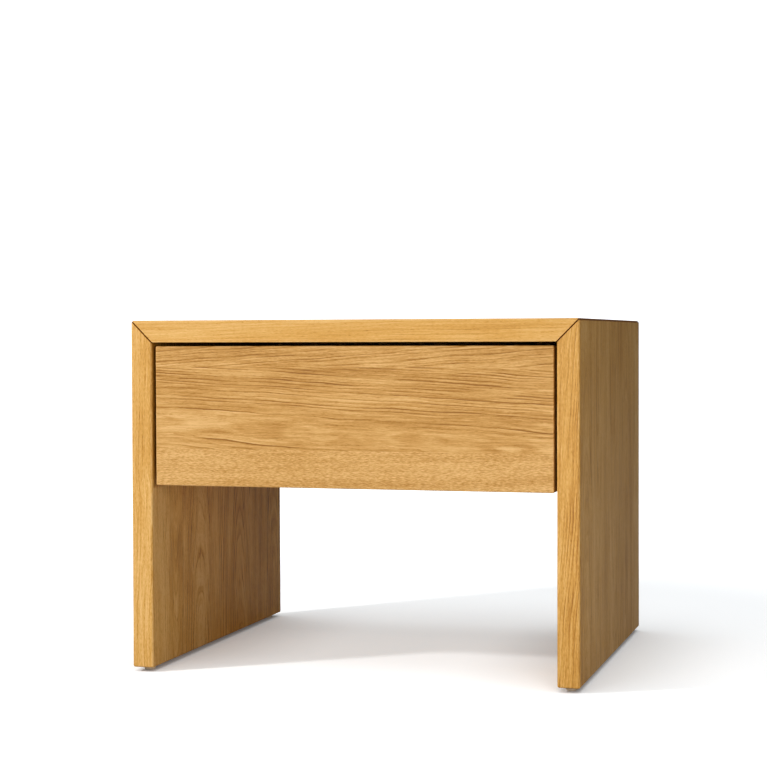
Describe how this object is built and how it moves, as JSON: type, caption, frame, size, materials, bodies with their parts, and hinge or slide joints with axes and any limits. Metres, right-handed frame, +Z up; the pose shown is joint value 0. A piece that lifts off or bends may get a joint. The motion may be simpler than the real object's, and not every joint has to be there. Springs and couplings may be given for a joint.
{
  "type": "bedside cabinet",
  "caption": "Low bedside cabinet in solid oak: mitred top and side panels round one handleless drawer on concealed full-extension ball runners, open below.",
  "frame": {"origin": "on the floor, under the middle of the cabinet's outline", "axes": "+X to the right as seen from the front, +Y to the back, so the drawer opens towards -Y, +Z up"},
  "size_m": [0.515, 0.44, 0.4],
  "materials": {
    "oak": "oiled",
    "drawer_oak": "oiled",
    "oak_plywood": "lacquered",
    "beech": "raw",
    "steel": "zinc plated",
    "cage_plastic": "matt",
    "clip_plastic": "matt",
    "lever_plastic": "matt",
    "glide_plastic": "matt"
  },
  "bodies": {
    "cabinet": {"top_panel": "oak", "left_side_panel": "oak", "right_side_panel": "oak", "back_panel": "oak", "base_panel": "oak", "left_mitre_tongue": "beech", "left_base_dowel_front": "beech", "left_base_dowel_middle": "beech", "left_base_dowel_rear": "beech", "left_back_dowel_lower": "beech", "left_back_dowel_upper": "beech", "left_glide_nail_front": "steel", "left_glide_nail_rear": "steel", "left_runner_screw_front": "steel", "left_runner_screw_middle": "steel", "left_runner_screw_rear": "steel", "left_glide_front": "glide_plastic", "left_glide_rear": "glide_plastic", "left_fixed_rail": "steel", "right_mitre_tongue": "beech", "right_base_dowel_front": "beech", "right_base_dowel_middle": "beech", "right_base_dowel_rear": "beech", "right_back_dowel_lower": "beech", "right_back_dowel_upper": "beech", "right_glide_nail_front": "steel", "right_glide_nail_rear": "steel", "right_runner_screw_front": "steel", "right_runner_screw_middle": "steel", "right_runner_screw_rear": "steel", "right_glide_front": "glide_plastic", "right_glide_rear": "glide_plastic", "right_fixed_rail": "steel"},
    "drawer": {"drawer_front": "oak", "drawer_box_front": "drawer_oak", "drawer_box_back": "drawer_oak", "left_drawer_side": "drawer_oak", "right_drawer_side": "drawer_oak", "drawer_floor": "oak_plywood", "left_drawer_rail": "steel", "left_clip_housing": "clip_plastic", "left_lever_pin": "steel", "left_clip_screw": "steel", "right_drawer_rail": "steel", "right_clip_housing": "clip_plastic", "right_lever_pin": "steel", "right_clip_screw": "steel", "front_screw_left_lower": "steel", "front_screw_left_upper": "steel", "front_screw_right_lower": "steel", "front_screw_right_upper": "steel"},
    "left_middle_rail": {"left_middle_rail": "steel"},
    "left_lower_ball_cage": {"left_lower_ball_cage": "cage_plastic"},
    "left_upper_ball_cage": {"left_upper_ball_cage": "cage_plastic"},
    "left_release_lever": {"left_release_lever": "lever_plastic"},
    "right_middle_rail": {"right_middle_rail": "steel"},
    "right_lower_ball_cage": {"right_lower_ball_cage": "cage_plastic"},
    "right_upper_ball_cage": {"right_upper_ball_cage": "cage_plastic"},
    "right_release_lever": {"right_release_lever": "lever_plastic"}
  },
  "joints": [
    {"name": "drawer_slide", "type": "slide", "parent": "cabinet", "child": "drawer", "axis": [0, -1, 0], "range_m": [0, 0.33]},
    {"name": "left_middle_rail_slide", "type": "slide", "parent": "cabinet", "child": "left_middle_rail", "axis": [0, -1, 0], "range_m": [0, 0.165]},
    {"name": "left_lower_ball_cage_slide", "type": "slide", "parent": "cabinet", "child": "left_lower_ball_cage", "axis": [0, -1, 0], "range_m": [0, 0.0825]},
    {"name": "left_upper_ball_cage_slide", "type": "slide", "parent": "cabinet", "child": "left_upper_ball_cage", "axis": [0, -1, 0], "range_m": [0, 0.2475]},
    {"name": "left_release_lever_hinge", "type": "hinge", "parent": "drawer", "child": "left_release_lever", "pos_m": [-0.1705, -0.158, 0.252], "axis": [0, 0, -1], "range_deg": [0, 14], "stiffness_Nm_per_rad": 0.02},
    {"name": "right_middle_rail_slide", "type": "slide", "parent": "cabinet", "child": "right_middle_rail", "axis": [0, -1, 0], "range_m": [0, 0.165]},
    {"name": "right_lower_ball_cage_slide", "type": "slide", "parent": "cabinet", "child": "right_lower_ball_cage", "axis": [0, -1, 0], "range_m": [0, 0.0825]},
    {"name": "right_upper_ball_cage_slide", "type": "slide", "parent": "cabinet", "child": "right_upper_ball_cage", "axis": [0, -1, 0], "range_m": [0, 0.2475]},
    {"name": "right_release_lever_hinge", "type": "hinge", "parent": "drawer", "child": "right_release_lever", "pos_m": [0.1705, -0.158, 0.252], "axis": [0, 0, 1], "range_deg": [0, 14], "stiffness_Nm_per_rad": 0.02}
  ],
  "couplings": [
    {"joint": "left_middle_rail_slide", "follows": "drawer_slide", "ratio": 0.5},
    {"joint": "left_lower_ball_cage_slide", "follows": "drawer_slide", "ratio": 0.25},
    {"joint": "left_upper_ball_cage_slide", "follows": "drawer_slide", "ratio": 0.75},
    {"joint": "right_middle_rail_slide", "follows": "drawer_slide", "ratio": 0.5},
    {"joint": "right_lower_ball_cage_slide", "follows": "drawer_slide", "ratio": 0.25},
    {"joint": "right_upper_ball_cage_slide", "follows": "drawer_slide", "ratio": 0.75}
  ]
}
